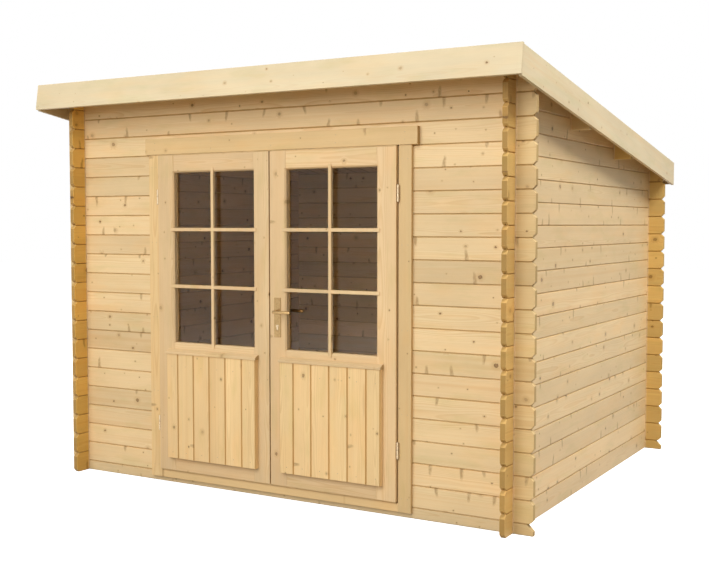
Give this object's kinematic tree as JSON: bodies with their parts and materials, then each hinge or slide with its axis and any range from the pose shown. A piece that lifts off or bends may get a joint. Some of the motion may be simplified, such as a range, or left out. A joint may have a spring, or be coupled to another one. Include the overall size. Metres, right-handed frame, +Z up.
{
  "type": "log garden shed with a glazed double door",
  "caption": "Garden shed of interlocking spruce logs with notched corners, a pent roof with deep edge boards and a glazed double door that opens outwards.",
  "frame": {"origin": "on the ground, in the middle of the rectangle that the roof covers", "axes": "+X to the right along the front wall, +Y from the front to the back, +Z up"},
  "size_m": [3.0206, 2.7506, 2.303],
  "materials": {
    "log_spruce": "planed, untreated",
    "trim_spruce": "planed, untreated",
    "door_spruce": "sanded, untreated",
    "board_spruce": "planed boards",
    "joist_wood": "sawn, impregnated",
    "roof_felt": "mineral felt",
    "pane_glass": "clear",
    "hinge_steel": "zinc plated",
    "handle_brass": "bronzed brass"
  },
  "bodies": {
    "house": {"left_wall_logs": "log_spruce", "right_wall_logs": "log_spruce", "back_wall_logs": "log_spruce", "front_sill_log": "log_spruce", "front_left_logs": "log_spruce", "front_right_logs": "log_spruce", "front_lintel_logs": "log_spruce", "purlins": "trim_spruce", "roof_deck": "board_spruce", "roof_felt": "roof_felt", "front_fascia": "trim_spruce", "left_fascia": "trim_spruce", "right_fascia": "trim_spruce", "rear_fascia": "trim_spruce", "left_jamb": "trim_spruce", "right_jamb": "trim_spruce", "head_jamb": "trim_spruce", "door_sill": "trim_spruce", "left_casing": "trim_spruce", "right_casing": "trim_spruce", "head_casing": "trim_spruce", "floor_joists": "joist_wood", "floor_boards": "board_spruce", "frame_hinges": "hinge_steel"},
    "left_leaf": {"left_leaf_stiles": "door_spruce", "left_leaf_rails": "door_spruce", "left_leaf_panel": "door_spruce", "left_leaf_moulding": "door_spruce", "left_leaf_glass": "pane_glass", "left_leaf_bars": "door_spruce", "left_leaf_hinges": "hinge_steel"},
    "right_leaf": {"right_leaf_stiles": "door_spruce", "right_leaf_rails": "door_spruce", "right_leaf_panel": "door_spruce", "right_leaf_moulding": "door_spruce", "right_leaf_glass": "pane_glass", "right_leaf_bars": "door_spruce", "right_leaf_hinges": "hinge_steel", "lock_plates": "handle_brass"},
    "lever": {"door_lever": "handle_brass"}
  },
  "joints": [
    {"name": "left_leaf_hinge", "type": "hinge", "parent": "house", "child": "left_leaf", "pos_m": [-0.777, -1.15854, 0.9795], "axis": [0, 0, -1], "range_deg": [0, 160]},
    {"name": "right_leaf_hinge", "type": "hinge", "parent": "house", "child": "right_leaf", "pos_m": [0.777, -1.15854, 0.9795], "axis": [0, 0, 1], "range_deg": [0, 160]},
    {"name": "lever_turn", "type": "hinge", "parent": "right_leaf", "child": "lever", "pos_m": [0.052, -1.14354, 1.0215], "axis": [0, 1, 0], "range_deg": [0, 40], "stiffness_Nm_per_rad": 1.5, "springref_deg": -22.92}
  ]
}
